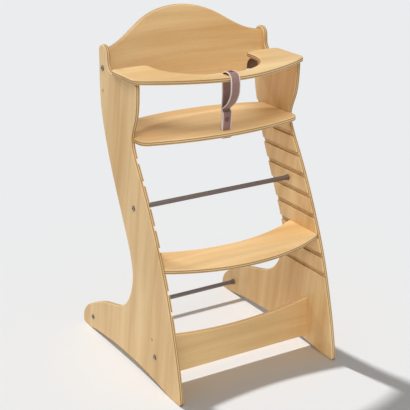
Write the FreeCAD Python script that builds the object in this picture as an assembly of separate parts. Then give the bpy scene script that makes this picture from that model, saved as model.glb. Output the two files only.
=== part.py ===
import FreeCAD, Part
import math
import os

# Baby high chair in birch plywood.  Millimetres, +Z up, the chair faces -Y, and +X is on the right of
# someone who stands in front of it.  The origin is on the floor, under the middle of the chair.  Two
# shaped side panels stand on edge.  Tie rods, a low front rail and a curved backrest hold them apart,
# and the seat, the foot board and the tray slide or drop into them.

os.makedirs("parts", exist_ok=True)
V = FreeCAD.Vector

# ---------------------------------------------------------------- driving dimensions
inner_width = 430.0             # clear width between the side panels
panel_thickness = 12.0
board_thickness = 12.0          # seat, foot board and tray
floor_depth = 533.0             # toe to heel of a side panel
edge_round = 3.0                # rounding of the panels' edges
board_round = 3.2               # rounding of the boards' edges

groove_count = 9                # grooves in each side panel, counted from the lowest
groove_pitch = 47.0
lowest_groove_z = 211.5
groove_depth = 5.0
groove_play_z = 0.6             # height of a groove over the thickness of a board
groove_play_x = 0.5             # gap between a board's end and the groove's floor
seat_groove = 8                 # index of the groove that holds the seat
foot_groove = 2                 # index of the groove that holds the foot board

tray_over_seat = 134.5          # from the seat's top to the tray's underside
horn_height = 60.0              # how far a side panel's horn stands above the tray's underside
horn_width = 43.0
horn_front_y = 64.5
horn_lean = 3.0                 # how far the horn's front edge leans back at its top
horn_root_round = 26.0          # hollow corner between the shoulder and the horn
horn_front_round = 20.0
horn_rear_round = 17.0
shoulder_front_y = -80.0
shoulder_round = 9.0
toe_round = 6.0
heel_round = 8.0
arch_height = 18.0              # how far the bottom edge rises between toe and heel
toe_land = 52.5                 # from the toe to the front end of that rise
heel_land = 44.5                # and from its rear end to the heel
arch_blend = 60.0

seat_front_y = -123.0           # middle of the seat's front edge
seat_back_y = 115.5             # middle of the seat's back edge
seat_front_radius = 670.0
seat_back_radius = 550.0
seat_corner = 28.0
seat_back_corner = 10.0
foot_front_y = -246.5
foot_back_y = -124.5
foot_front_radius = 415.0
foot_back_radius = 420.0
foot_corner = 8.0

tray_overhang = 7.0             # tray edge beyond the panels' outer faces
tray_front_y = -170.0
tray_front_sweep = 86.0         # how far the tray's front corners stand behind its nose
tray_front_corner = 24.0
tray_to_horn = 28.0             # tray's rear edge in front of the horn's front edge
tray_rear_corner = 15.0
tray_cut_front_y = -132.5       # deepest point of the cut-out for the child
tray_cut_half_width = 137.5
tray_cut_centre_y = 3.5
tray_arm_round = 18.0
tray_pin_radius = 3.0
tray_pin_length = 26.0
tray_pin_in_tray = 8.0
tray_pin_clearance = 0.08       # radial
tray_pin_front_y = -48.0
tray_pin_rear_y = 4.0

back_thickness = 12.0
back_hollow = 52.0              # depth of the backrest's curve
back_above_horn = 66.5          # top of the backrest over the top of the horns
back_ear_drop = 8.0             # top of the backrest's ears below the top of the horns
back_ear_below = 16.0           # bottom of the ears below the tray's underside
back_tongue_half_width = 185.0
back_tongue_below = 58.0        # bottom of the backrest below the tray's underside
back_tongue_round = 14.0
back_notch_round = 25.0         # hollow corner between an ear and the tongue
back_round = 2.5                # rounding of the backrest's edges
cutter_over = 10.0              # how far a cutting shape goes past what it cuts

bracket_thickness = 2.0         # angle brackets behind the backrest's ears
bracket_height = 40.0
bracket_lap = 16.0              # how far a bracket goes behind the backrest's tongue
bracket_flange = 11.0           # along the panel
bracket_drop = 36.0             # bottom of a bracket below the bottom of an ear
bracket_screw_radius = 1.75
bracket_screw_length = 9.0
bracket_screw_head = 3.4        # radius of the ball that its head is cut from
bracket_screw_sink = 1.2        # depth of that ball's centre under the leg's face
bracket_screw_margin = 9.0      # from the bracket's edges to its screws
bracket_flange_margin = 6.5     # from the bend to the screws in the panel

rod_radius = 6.0
rod_collar_radius = 7.6
rod_collar_length = 8.0
upper_rod_groove = 4            # the upper rod lies between this groove and the next one up
upper_rod_y = -54.5
lower_rod_y = 203.0
lower_rod_z = 38.0

rail_thickness = 12.0
rail_front_y = -152.5
rail_bottom_z = 22.0
rail_end_height = 109.0
rail_dip = 20.0                 # how far the top edge sags in the middle

screw_radius = 2.5
screw_hole_clearance = 0.2      # radial
tapping_play = 0.1              # radial, where the screw's thread sits
screw_head_radius = 6.5
screw_head_height = 2.6
screw_head_round = 1.6
screw_socket_flats = 4.0
screw_socket_depth = 1.8
screw_grip = 20.0               # thread length beyond the panel
barrel_radius = 4.0
barrel_clearance = 0.1
rail_barrel_reach = 14.0        # barrel nut's centre from the rail's end
back_barrel_reach = 8.0         # and from the backrest's end
barrel_bed = 0.5                # outer end of a barrel nut under the backrest's rear face
barrel_over = 5.0               # how far the screw and its hole go past the barrel nut's centre
end_chamfer = 0.6               # on the ends of dowels and collars
dowel_radius = 3.0
dowel_in_panel = 7.0
rail_dowel_reach = 18.0         # how deep a dowel goes into the rail
back_dowel_reach = 8.0          # and into the backrest
dowel_gap = 1.0                 # free depth at the end of a blind dowel hole
rail_dowel_offset = 33.0        # above and below the rail's screw
back_screw_up = 4.0             # backrest screw above the tray's underside
back_dowel_up = 32.0            # backrest dowel above the backrest screw

strap_width = 25.0
strap_thickness = 1.8
strap_gap = 0.4                 # between the strap and what it lies against
strap_x = -2.0                  # middle of the strap where it passes through the seat
strap_lean = -0.11              # how far it leans sideways for each millimetre that it climbs
strap_seat_y = -104.0           # where the strap comes out of the seat
strap_join_up = 51.0            # height over the seat at which the loop's two runs meet
strap_loop_lift = 1.0           # lower end of the loop over the seat
strap_bar_radius = 1.5
strap_bar_length = 38.0
slot_play = 1.0
snap_radius = 5.5
snap_height = 1.6
snap_round = 0.9
snap_bed = 0.2
tail_snap_up = 26.0             # press stud on the tail, above the seat
loop_snap_share = 0.42          # press stud's place along the loop's front run
bar_snap_back = 9.0             # press stud on the bar, behind the bar's middle

# ---------------------------------------------------------------- levels worked out from them
half_inner = inner_width / 2
half_outer = half_inner + panel_thickness
groove_height = board_thickness + groove_play_z
board_half = half_inner + groove_depth - groove_play_x


def groove_z(index):
    """Height of a groove's lower wall."""
    return lowest_groove_z + index * groove_pitch


top_groove_z = groove_z(groove_count - 1)
seat_z = groove_z(seat_groove)
foot_z = groove_z(foot_groove)
seat_top_z = seat_z + board_thickness
bracket_reach = half_inner - back_tongue_half_width + bracket_lap
seat_middle_z = seat_z + board_thickness / 2
shoulder_z = top_groove_z + board_thickness + tray_over_seat
tray_top_z = shoulder_z + board_thickness
horn_top_z = shoulder_z + horn_height
horn_rear_y = horn_front_y + horn_width
back_y = horn_front_y + horn_width / 2 + 1.0        # middle of the backrest's thickness at its ends
back_outer_radius = (half_inner ** 2 + back_hollow ** 2) / (2 * back_hollow)
back_centre_y = back_y + back_thickness / 2 + back_hollow - back_outer_radius   # axis of its curve
back_screw_z = shoulder_z + back_screw_up
back_dowel_z = back_screw_z + back_dowel_up
upper_rod_z = (groove_z(upper_rod_groove) + groove_height + groove_z(upper_rod_groove + 1)) / 2
rail_mid_y = rail_front_y + rail_thickness / 2
rail_screw_z = rail_bottom_z + rail_end_height / 2
tray_rear_y = horn_front_y - tray_to_horn
tray_half = half_outer + tray_overhang
tray_cut_depth = tray_cut_centre_y - tray_cut_front_y
tray_cut_radius = (tray_cut_half_width ** 2 + tray_cut_depth ** 2) / (2 * tray_cut_depth)
toe_y = -floor_depth / 2
heel_y = floor_depth / 2
arch_front_y = toe_y + toe_land
arch_rear_y = heel_y - heel_land


# ---------------------------------------------------------------- general helpers
def export(shape, node):
    """Write one node's solid or group of solids."""
    shape.exportStep("parts/" + node + ".step")


def line(a, b):
    return Part.makeLine(a, b)


def arc(a, middle, b):
    return Part.Arc(a, middle, b).toShape()


def spline(points):
    """Smooth curve through the points."""
    curve = Part.BSplineCurve()
    curve.interpolate(points)
    return curve.toShape()


def prism(edges, depth):
    """Solid swept from a closed outline along the vector depth."""
    wire = Part.Wire(Part.__sortEdges__(edges))
    return Part.Face(wire).extrude(depth)


def round_corners(solid, corners, along):
    """Fillet the edges parallel to one axis that pass through the given corners."""
    for corner, radius in corners:
        best = None
        for edge in solid.Edges:
            ends = [vertex.Point for vertex in edge.Vertexes]
            if len(ends) != 2 or abs((ends[1] - ends[0]).normalize().dot(along)) < 0.999:
                continue
            away = corner - ends[0]
            away = away - along * away.dot(along)
            if away.Length < 0.05:
                best = edge
        solid = solid.makeFillet(radius, [best])
    return solid


def face_edges(solid, normal, offset):
    """Edges of the planar face with this normal that lies at this offset along it."""
    found = []
    for face in solid.Faces:
        if face.Surface.TypeId != "Part::GeomPlane":
            continue
        centre = face.CenterOfMass
        if abs(abs(face.Surface.Axis.dot(normal)) - 1.0) < 1e-6 and abs(centre.dot(normal) - offset) < 1e-4:
            found += face.OuterWire.Edges
    return found


def cylinder(radius, length, start, direction):
    return Part.makeCylinder(radius, length, start, direction)


def mirrored(shape):
    """The same piece for the other side of the chair."""
    return shape.mirror(V(0, 0, 0), V(1, 0, 0))


def sag(radius, half_chord):
    """Rise of a circular arc over half of its chord."""
    return radius - math.sqrt(radius ** 2 - half_chord ** 2)


# ---------------------------------------------------------------- side panels
def side_outline():
    """Outline of a side panel in the plane x = 0, with its corners still sharp."""
    def low(y, level):
        """Point below the top groove: y as a share of the floor depth, height as a share of the groove's."""
        return V(0, y * floor_depth, level * top_groove_z)

    heel = V(0, heel_y, 0)
    toe = V(0, toe_y, 0)
    horn_rear = V(0, horn_rear_y, horn_top_z)
    horn_front = V(0, horn_front_y + horn_lean, horn_top_z)
    horn_root = V(0, horn_front_y, shoulder_z)
    shoulder = V(0, shoulder_front_y, shoulder_z)
    heel_top = V(0, heel_y, heel_round + 2.0)
    toe_top = V(0, toe_y, toe_round + 2.0)
    rear = [heel_top, low(0.4925, 0.052), low(0.452, 0.0965), low(0.362, 0.143),
            low(0.254, 0.186), low(0.146, 0.2135), low(0.052, 0.243), low(-0.013, 0.291),
            low(-0.053, 0.354), low(-0.0705, 0.4255), low(-0.058, 0.498), low(-0.008, 0.608),
            low(0.062, 0.740), low(0.129, 0.875), low(0.1735, 0.992),
            V(0, horn_rear_y - 1.0, shoulder_z - 94.0), V(0, horn_rear_y + 2.0, shoulder_z - 42.0),
            V(0, horn_rear_y + 1.2, shoulder_z + 10.0), horn_rear]
    front = [toe_top, low(-0.4865, 0.097), low(-0.4615, 0.204), low(-0.4285, 0.322),
             low(-0.3785, 0.468), low(-0.312, 0.613), low(-0.235, 0.757), low(-0.1595, 0.877),
             low(-0.110, 0.953), V(0, -49.0, top_groove_z + 2.5),
             V(0, -54.5, shoulder_z - 119.0), V(0, -69.0, shoulder_z - 86.0),
             V(0, -76.5, shoulder_z - 54.0), shoulder]
    arch_mid = V(0, (arch_front_y + arch_rear_y) / 2, arch_height)
    arch_rear = V(0, arch_rear_y, 0)
    arch_front = V(0, arch_front_y, 0)
    edges = [line(heel, heel_top), spline(rear), line(horn_rear, horn_front),
             line(horn_front, horn_root), line(horn_root, shoulder),
             spline(front), line(toe_top, toe), line(toe, arch_front),
             arc(arch_front, arch_mid, arch_rear), line(arch_rear, heel)]
    corners = [(heel, heel_round), (toe, toe_round), (arch_rear, arch_blend), (arch_front, arch_blend),
               (shoulder, shoulder_round), (horn_root, horn_root_round),
               (horn_front, horn_front_round), (horn_rear, horn_rear_round)]
    return edges, corners


def make_right_panel():
    """Panel on the +X side: outline, rounded edges, grooves, and holes for everything that joins it."""
    edges, corners = side_outline()
    solid = prism(edges, V(panel_thickness, 0, 0))
    solid = round_corners(solid, corners, V(1, 0, 0))
    rim = face_edges(solid, V(1, 0, 0), 0.0) + face_edges(solid, V(1, 0, 0), panel_thickness)
    solid = solid.makeFillet(edge_round, rim)
    solid.translate(V(half_inner, 0, 0))
    for index in range(groove_count):
        groove = Part.makeBox(groove_depth, 2 * floor_depth, groove_height,
                              V(half_inner, -floor_depth, groove_z(index)))
        solid = solid.cut(groove)
    for y, z in screw_places():
        hole = cylinder(screw_radius + screw_hole_clearance, panel_thickness + 2,
                        V(half_inner - 1, y, z), V(1, 0, 0))
        solid = solid.cut(hole)
    for y, z in dowel_places():
        solid = solid.cut(cylinder(dowel_radius, dowel_in_panel + dowel_gap, V(half_inner, y, z), V(1, 0, 0)))
    for y in (tray_pin_front_y, tray_pin_rear_y):
        depth = tray_pin_length - tray_pin_in_tray + dowel_gap
        solid = solid.cut(cylinder(tray_pin_radius + tray_pin_clearance, depth + 1,
                                   V(tray_pin_x, y, shoulder_z + 1), V(0, 0, -1)))
    return solid


def screw_places():
    """Centres of the four screws through a side panel: rods, backrest, rail."""
    return [(upper_rod_y, upper_rod_z), (lower_rod_y, lower_rod_z), (back_axis_y, back_screw_z),
            (rail_mid_y, rail_screw_z)]


def dowel_places():
    """Centres of the blind dowels in a side panel: two for the rail, one for the backrest."""
    return [(rail_mid_y, rail_screw_z - rail_dowel_offset), (rail_mid_y, rail_screw_z + rail_dowel_offset),
            (back_axis_y, back_dowel_z)]


def back_shift(x):
    """How far the curved backrest stands behind its ends at this distance from the middle."""
    return back_hollow - sag(back_outer_radius, x)


tray_pin_x = half_inner + panel_thickness / 2
back_axis_y = back_y + back_shift(half_inner - back_barrel_reach / 2)


# ---------------------------------------------------------------- boards
def board(edges, corners, z, thickness=board_thickness, rounding=board_round):
    """Flat board with rounded corners in plan and rounded edges."""
    solid = prism(edges, V(0, 0, thickness))
    solid = round_corners(solid, corners, V(0, 0, 1))
    rim = face_edges(solid, V(0, 0, 1), 0.0) + face_edges(solid, V(0, 0, 1), thickness)
    solid = solid.makeFillet(rounding, rim)
    solid.translate(V(0, 0, z))
    return solid


def make_seat():
    """Seat board: both edges bow outwards, and the strap comes up through a slot near the front."""
    front = seat_front_y + sag(seat_front_radius, board_half)
    back = seat_back_y - sag(seat_back_radius, board_half)
    fl, fr = V(-board_half, front, 0), V(board_half, front, 0)
    bl, br = V(-board_half, back, 0), V(board_half, back, 0)
    edges = [arc(fl, V(0, seat_front_y, 0), fr), line(fr, br), arc(br, V(0, seat_back_y, 0), bl), line(bl, fl)]
    corners = [(fl, seat_corner), (fr, seat_corner), (bl, seat_back_corner), (br, seat_back_corner)]
    solid = board(edges, corners, seat_z)
    slot = Part.makeBox(strap_width + 2 * slot_play, strap_thickness + 2 * slot_play, board_thickness + 2,
                        V(strap_x - strap_width / 2 - slot_play, strap_seat_y - strap_thickness / 2 - slot_play,
                          seat_z - 1))
    return solid.cut(slot)


def make_foot_board():
    """Crescent foot board: the back edge is hollow and the front edge bows forward."""
    front = foot_front_y + sag(foot_front_radius, board_half)
    back = foot_back_y + sag(foot_back_radius, board_half)
    fl, fr = V(-board_half, front, 0), V(board_half, front, 0)
    bl, br = V(-board_half, back, 0), V(board_half, back, 0)
    edges = [arc(fl, V(0, foot_front_y, 0), fr), line(fr, br), arc(br, V(0, foot_back_y, 0), bl), line(bl, fl)]
    corners = [(corner, foot_corner) for corner in (fl, fr, bl, br)]
    return board(edges, corners, foot_z)


def make_tray():
    """U-shaped tray: bowed front, two arms back to the horns, and a deep round cut-out for the child."""
    cut = tray_cut_half_width
    nose = []
    for share, swept in ((-1.0, 1.0), (-0.88, 0.79), (-0.70, 0.52), (-0.46, 0.24), (-0.22, 0.055)):
        nose.append(V(share * tray_half, tray_front_y + swept * tray_front_sweep, 0))
    nose.append(V(0, tray_front_y, 0))
    for point in reversed(nose[:-1]):
        nose.append(V(-point.x, point.y, 0))
    fl, fr = nose[0], nose[-1]
    bl, br = V(-tray_half, tray_rear_y, 0), V(tray_half, tray_rear_y, 0)
    il, ir = V(-cut, tray_rear_y, 0), V(cut, tray_rear_y, 0)
    cl, cr = V(-cut, tray_cut_centre_y, 0), V(cut, tray_cut_centre_y, 0)
    edges = [spline(nose), line(fr, br), line(br, ir), line(ir, cr),
             arc(cr, V(0, tray_cut_front_y, 0), cl), line(cl, il), line(il, bl), line(bl, fl)]
    corners = [(fl, tray_front_corner), (fr, tray_front_corner), (bl, tray_rear_corner), (br, tray_rear_corner),
               (il, tray_arm_round), (ir, tray_arm_round)]
    solid = board(edges, corners, shoulder_z)
    for side in (-1, 1):
        for y in (tray_pin_front_y, tray_pin_rear_y):
            solid = solid.cut(cylinder(tray_pin_radius, tray_pin_in_tray, V(side * tray_pin_x, y, shoulder_z),
                                       V(0, 0, 1)))
    return solid


def make_tray_pins():
    """Steel pins in the tray's underside that stand in holes in the panels' shoulders."""
    pins = []
    for side in (-1, 1):
        for y in (tray_pin_front_y, tray_pin_rear_y):
            foot = V(side * tray_pin_x, y, shoulder_z + tray_pin_in_tray - tray_pin_length)
            pins.append(cylinder(tray_pin_radius, tray_pin_length, foot, V(0, 0, 1)))
    return Part.makeCompound(pins)


def make_rail():
    """Low front rail on edge, with a hollow top edge."""
    top = rail_bottom_z + rail_end_height
    bl, br = V(-half_inner, 0, rail_bottom_z), V(half_inner, 0, rail_bottom_z)
    tl, tr = V(-half_inner, 0, top), V(half_inner, 0, top)
    edges = [line(bl, br), line(br, tr), arc(tr, V(0, 0, top - rail_dip), tl), line(tl, bl)]
    solid = prism(edges, V(0, rail_thickness, 0))
    rim = []
    for edge in solid.Edges:
        box = edge.BoundBox
        if box.XLength > inner_width / 2:
            rim.append(edge)
    solid = solid.makeFillet(edge_round, rim)
    solid.translate(V(0, rail_front_y, 0))
    return drill_ends(solid, rail_joint)


def drill_ends(solid, joint):
    """Cut the screw, barrel nut and dowel holes into both ends of the rail or the backrest."""
    for side in (-1, 1):
        inward = V(-side, 0, 0)
        end = side * half_inner
        solid = solid.cut(cylinder(screw_radius + screw_hole_clearance, joint["reach"] + barrel_over + 1.0,
                                   V(end, joint["y"], joint["z"]), inward))
        solid = solid.cut(cylinder(barrel_radius + barrel_clearance, joint["barrel"] + cutter_over,
                                   V(end - side * joint["reach"], joint["rear_y"] + cutter_over, joint["z"]),
                                   V(0, -1, 0)))
        for y, z in joint["dowels"]:
            solid = solid.cut(cylinder(dowel_radius, joint["dowel_reach"] + dowel_gap, V(end, y, z), inward))
    return solid


def make_backrest():
    """Moulded backrest: a curved shell, a bell-shaped top, ears to the horns and a narrower tongue below."""
    inner_radius = back_outer_radius - back_thickness
    ear_top = horn_top_z - back_ear_drop
    ear_bottom = shoulder_z - back_ear_below
    tongue_bottom = shoulder_z - back_tongue_below
    crown = horn_top_z + back_above_horn
    rise = crown - ear_top
    height = crown - tongue_bottom + 2 * cutter_over
    foot = V(0, back_centre_y, tongue_bottom - cutter_over)
    shell = cylinder(back_outer_radius, height, foot, V(0, 0, 1))
    shell = shell.cut(cylinder(inner_radius, height, foot, V(0, 0, 1)))
    near = back_y - back_thickness / 2 - cutter_over
    half = half_inner
    tongue = back_tongue_half_width
    tl, tr = V(-half, near, ear_top), V(half, near, ear_top)
    bell = [tl]
    for x, share in ((0.86, 0.075), (0.74, 0.23), (0.61, 0.455), (0.47, 0.69), (0.33, 0.857), (0.19, 0.952)):
        bell.append(V(-x * half, near, ear_top + share * rise))
    bell.append(V(0, near, crown))
    for point in reversed(bell[:-1]):
        bell.append(V(-point.x, near, point.z))
    points = [tr, V(half, near, ear_bottom), V(tongue, near, ear_bottom), V(tongue, near, tongue_bottom),
              V(-tongue, near, tongue_bottom), V(-tongue, near, ear_bottom), V(-half, near, ear_bottom), tl]
    edges = [spline(bell)]
    for a, b in zip(points[:-1], points[1:]):
        edges.append(line(a, b))
    front_view = prism(edges, V(0, back_thickness + back_hollow + 2 * cutter_over, 0))
    corners = []
    for side in (-1, 1):
        corners += [(V(side * tongue, near, tongue_bottom), back_tongue_round),
                    (V(side * tongue, near, ear_bottom), back_notch_round)]
    front_view = round_corners(front_view, corners, V(0, 1, 0))
    solid = shell.common(front_view)
    rim = []
    for edge in solid.Edges:
        box = edge.BoundBox
        middle = edge.valueAt((edge.FirstParameter + edge.LastParameter) / 2)
        on_end = box.XLength < 1e-3 and abs(abs(middle.x) - half) < 1e-3
        across = box.XLength < back_thickness + 2 and box.ZLength < 1e-3
        if not on_end and not across and edge.Length > back_thickness + 2:
            rim.append(edge)
    solid = solid.makeFillet(back_round, rim)
    return drill_ends(solid, back_joint)


rail_joint = {"reach": rail_barrel_reach, "y": rail_mid_y, "z": rail_screw_z,
              "rear_y": rail_front_y + rail_thickness, "barrel": rail_thickness / 2 + barrel_radius,
              "dowels": dowel_places()[:2], "dowel_reach": rail_dowel_reach}
back_joint = {"reach": back_barrel_reach, "y": back_axis_y, "z": back_screw_z,
              "rear_y": back_y + back_thickness / 2 + back_shift(half_inner - back_barrel_reach) - barrel_bed,
              "barrel": back_thickness / 2 + barrel_radius, "dowels": dowel_places()[2:],
              "dowel_reach": back_dowel_reach}


def back_plan(x, out):
    """Point behind the backrest in plan, at this x and this far off its rear face, and the way off that face."""
    face_y = back_centre_y + math.sqrt(back_outer_radius ** 2 - x ** 2)
    normal = V(x, face_y - back_centre_y, 0).normalize()
    return V(x, face_y, 0) + normal * out, normal


def make_bracket():
    """Angle bracket on the right: one leg lies on the backrest's rear face, the other on the panel."""
    bottom = shoulder_z - back_ear_below - bracket_drop
    inner = half_inner - bracket_reach
    toe, normal = back_plan(inner, 0)
    bend, end_normal = back_plan(half_inner - bracket_thickness, 0)
    middle, middle_normal = back_plan((inner + half_inner) / 2, 0)
    rear_y = bend.y + bracket_flange
    corner = V(half_inner, bend.y - bracket_thickness * end_normal.x, 0)
    inside = V(half_inner - bracket_thickness, bend.y + bracket_thickness, 0)
    edges = [arc(toe, middle, bend), line(bend, corner), line(corner, V(half_inner, rear_y, 0)),
             line(V(half_inner, rear_y, 0), V(half_inner - bracket_thickness, rear_y, 0)),
             line(V(half_inner - bracket_thickness, rear_y, 0), inside),
             arc(inside, middle + middle_normal * bracket_thickness, toe + normal * bracket_thickness),
             line(toe + normal * bracket_thickness, toe)]
    solid = prism(edges, V(0, 0, bracket_height))
    solid.translate(V(0, 0, bottom))
    return solid


def bracket_screw_places():
    """Heads of the right bracket's screws: points on the legs' outer faces and the ways out of them."""
    bottom = shoulder_z - back_ear_below - bracket_drop
    on_back, normal = back_plan(half_inner - bracket_reach + bracket_screw_margin, bracket_thickness)
    on_panel = V(half_inner - bracket_thickness, back_plan(half_inner, 0)[0].y + bracket_flange_margin, 0)
    places = []
    for up in (bracket_screw_margin, bracket_height - bracket_screw_margin):
        places.append((on_back + V(0, 0, bottom + up), normal))
        places.append((on_panel + V(0, 0, bottom + up), V(-1, 0, 0)))
    return places


def make_bracket_screws():
    """Round-headed wood screws of the right bracket."""
    screws = []
    for place, outward in bracket_screw_places():
        shank = cylinder(bracket_screw_radius, bracket_screw_length, place, outward * -1)
        head = Part.makeSphere(bracket_screw_head, place - outward * bracket_screw_sink)
        cutter = cylinder(2 * bracket_screw_head, 2 * bracket_screw_head, place, outward * -1)
        screws.append(shank.fuse(head.cut(cutter)).removeSplitter())
    return Part.makeCompound(screws)


# ---------------------------------------------------------------- rods and fasteners
def make_rod(y, z):
    """Round tie rod between the panels, tapped at both ends."""
    rod = cylinder(rod_radius, inner_width, V(-half_inner, y, z), V(1, 0, 0))
    for side in (-1, 1):
        rod = rod.cut(cylinder(screw_radius + tapping_play, screw_grip + 2, V(side * half_inner, y, z), V(-side, 0, 0)))
    return rod


def make_collar(y, z):
    """Ring on the right end of a tie rod, against the panel."""
    start = V(half_inner - rod_collar_length, y, z)
    ring = cylinder(rod_collar_radius, rod_collar_length, start, V(1, 0, 0))
    rims = [edge for edge in ring.Edges if edge.BoundBox.XLength < 1e-6]
    ring = ring.makeChamfer(end_chamfer, rims)
    return ring.cut(cylinder(rod_radius, rod_collar_length, start, V(1, 0, 0)))


def make_screw(y, z, reach):
    """Domed screw through the right panel, with a hexagon socket in its head."""
    shank = cylinder(screw_radius, panel_thickness + reach, V(half_inner - reach, y, z), V(1, 0, 0))
    head = cylinder(screw_head_radius, screw_head_height, V(half_outer, y, z), V(1, 0, 0))
    crown = [edge for edge in head.Edges if edge.BoundBox.XMin > half_outer + screw_head_height - 0.01]
    head = head.makeFillet(screw_head_round, crown)
    corner = screw_socket_flats / 2 / math.cos(math.pi / 6)
    socket_x = half_outer + screw_head_height - screw_socket_depth
    points = []
    for step in range(7):
        angle = step * math.pi / 3
        points.append(V(socket_x, y + corner * math.cos(angle), z + corner * math.sin(angle)))
    socket = Part.Face(Part.makePolygon(points)).extrude(V(screw_socket_depth + 1, 0, 0))
    return shank.fuse(head).cut(socket).removeSplitter()


def make_barrel(joint):
    """Cross-drilled barrel nut in the right end of the rail or the backrest."""
    x = half_inner - joint["reach"]
    nut = cylinder(barrel_radius, joint["barrel"], V(x, joint["rear_y"], joint["z"]), V(0, -1, 0))
    tapping = cylinder(screw_radius + tapping_play, 2 * barrel_radius + 2,
                       V(x - barrel_radius - 1, joint["y"], joint["z"]), V(1, 0, 0))
    return nut.cut(tapping)


def make_dowels(joint):
    """Wooden dowels between the right panel and the right end of the rail or the backrest."""
    pegs = []
    reach = joint["dowel_reach"]
    for y, z in joint["dowels"]:
        peg = cylinder(dowel_radius, dowel_in_panel + reach, V(half_inner - reach, y, z), V(1, 0, 0))
        rims = [edge for edge in peg.Edges if edge.BoundBox.XLength < 1e-6]
        pegs.append(peg.makeChamfer(end_chamfer, rims))
    return Part.makeCompound(pegs)


# ---------------------------------------------------------------- strap between the seat and the tray
def strap_plate(points, inner=None):
    """Solid of the strap's width over a closed outline in YZ, less an inner outline."""
    x0 = strap_x - strap_width / 2
    face = Part.Face(Part.Wire(Part.__sortEdges__(points)))
    solid = face.extrude(V(strap_width, 0, 0))
    solid.translate(V(x0, 0, 0))
    if inner is not None:
        hole = Part.Face(Part.Wire(Part.__sortEdges__(inner))).extrude(V(strap_width, 0, 0))
        hole.translate(V(x0, 0, 0))
        solid = solid.cut(hole)
    return solid


def strap_at(z):
    """Middle of the leaning strap at this height."""
    return strap_x + strap_lean * (z - seat_middle_z)


def leaning(shape):
    """The shape sheared sideways as the strap is."""
    shear = FreeCAD.Matrix()
    shear.A13 = strap_lean
    shear.A14 = -strap_lean * seat_middle_z
    return shape.transformGeometry(shear)


def loop_outline(out):
    """Closed outline round the tray's front bar and down to the join, set out by a distance."""
    bar_front = tray_front_y - strap_gap - out
    reach = abs(strap_at(shoulder_z)) + strap_width / 2
    bar_back = tray_cut_front_y + sag(tray_cut_radius, reach) + strap_gap + out
    top = tray_top_z + strap_gap + out
    corner = board_round
    join_z = seat_top_z + strap_join_up - 2 * out
    a = V(0, loop_y - out, join_z)
    b = V(0, bar_front, shoulder_z - 6)
    c = V(0, bar_front, top - corner)
    d = V(0, bar_front + corner, top)
    e = V(0, bar_back - corner, top)
    f = V(0, bar_back, top - corner)
    g = V(0, bar_back, shoulder_z - 6)
    h = V(0, loop_y + out, join_z)
    half = corner * (1 - math.sqrt(0.5))
    belly = V(0, b.y + 0.14 * (a.y - b.y), b.z - 0.30 * (b.z - a.z))
    waist = V(0, b.y + 0.52 * (a.y - b.y), b.z - 0.66 * (b.z - a.z))
    front_run = spline([b, belly, waist, a])
    rear_run = spline([g, V(0, g.y + 0.35 * (h.y - g.y), g.z - 0.4 * (g.z - h.z)), h])
    edges = [line(c, b), front_run, rear_run, line(g, f), arc(f, V(0, bar_back - half, top - half), e),
             line(e, d), arc(d, V(0, bar_front + half, top - half), c)]
    if out > 0:
        edges.append(line(a, h))
    return edges


loop_y = strap_seat_y + 1.5 * strap_thickness + strap_gap     # middle of the loop's sewn double end
strap_tail_top = seat_top_z + strap_join_up - 3 * strap_thickness


def make_strap_loop():
    """Loop of the strap round the tray's front bar, with its two runs sewn together below the join."""
    solid = strap_plate(loop_outline(strap_thickness), loop_outline(0.0))
    low = seat_top_z + strap_loop_lift
    high = seat_top_z + strap_join_up
    width = 2 * strap_thickness
    tail = Part.makeBox(strap_width, width, high - low, V(strap_x - strap_width / 2, loop_y - width / 2, low))
    return leaning(solid.fuse(tail).removeSplitter())


def make_strap_tail():
    """Lower part of the strap: from the bar under the seat, up through the slot, in front of the loop."""
    y0 = strap_seat_y - strap_thickness / 2
    eye_radius = strap_bar_radius + strap_gap
    eye_z = seat_z - strap_gap - eye_radius - strap_thickness
    up = Part.makeBox(strap_width, strap_thickness, strap_tail_top - eye_z,
                      V(strap_x - strap_width / 2, y0, eye_z))
    start = V(strap_x - strap_width / 2, strap_seat_y, eye_z)
    eye = cylinder(eye_radius + strap_thickness, strap_width, start, V(1, 0, 0))
    hollow = cylinder(eye_radius, strap_width, start, V(1, 0, 0))
    return leaning(up.fuse(eye).cut(hollow).removeSplitter())


def make_strap_bar():
    """Round bar under the seat that keeps the strap from pulling through its slot."""
    eye_z = seat_z - 2 * strap_gap - strap_bar_radius - strap_thickness
    start = V(strap_at(eye_z) - strap_bar_length / 2, strap_seat_y, eye_z)
    return cylinder(strap_bar_radius, strap_bar_length, start, V(1, 0, 0))


def loop_snap_place():
    """Middle of the loop's front run: a point on its outer face and the way out of that face."""
    runs = [edge for edge in loop_outline(strap_thickness) if edge.Curve.TypeId == "Part::GeomBSplineCurve"]
    run = min(runs, key=lambda edge: edge.BoundBox.YMin)
    middle = run.getParameterByLength(loop_snap_share * run.Length)
    along = run.tangentAt(middle)
    outward = V(0, -abs(along.z), -abs(along.y))
    return run.valueAt(middle), outward


def make_snap(centre, normal):
    """Low round cap of a press stud, bedded a little into the strap."""
    cap = cylinder(snap_radius, snap_height, centre - normal * snap_bed, normal)
    best = max(cap.Edges, key=lambda edge: edge.BoundBox.Center.dot(normal))
    return cap.makeFillet(snap_round, [best])


# ---------------------------------------------------------------- build and write every node
right_panel = make_right_panel()
export(right_panel, "right_side_panel")
export(mirrored(right_panel), "left_side_panel")
export(make_backrest(), "backrest")
export(make_seat(), "seat_board")
export(make_foot_board(), "foot_board")
export(make_rail(), "front_rail")
export(make_tray(), "safety_tray")
export(make_tray_pins(), "tray_pins")

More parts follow.
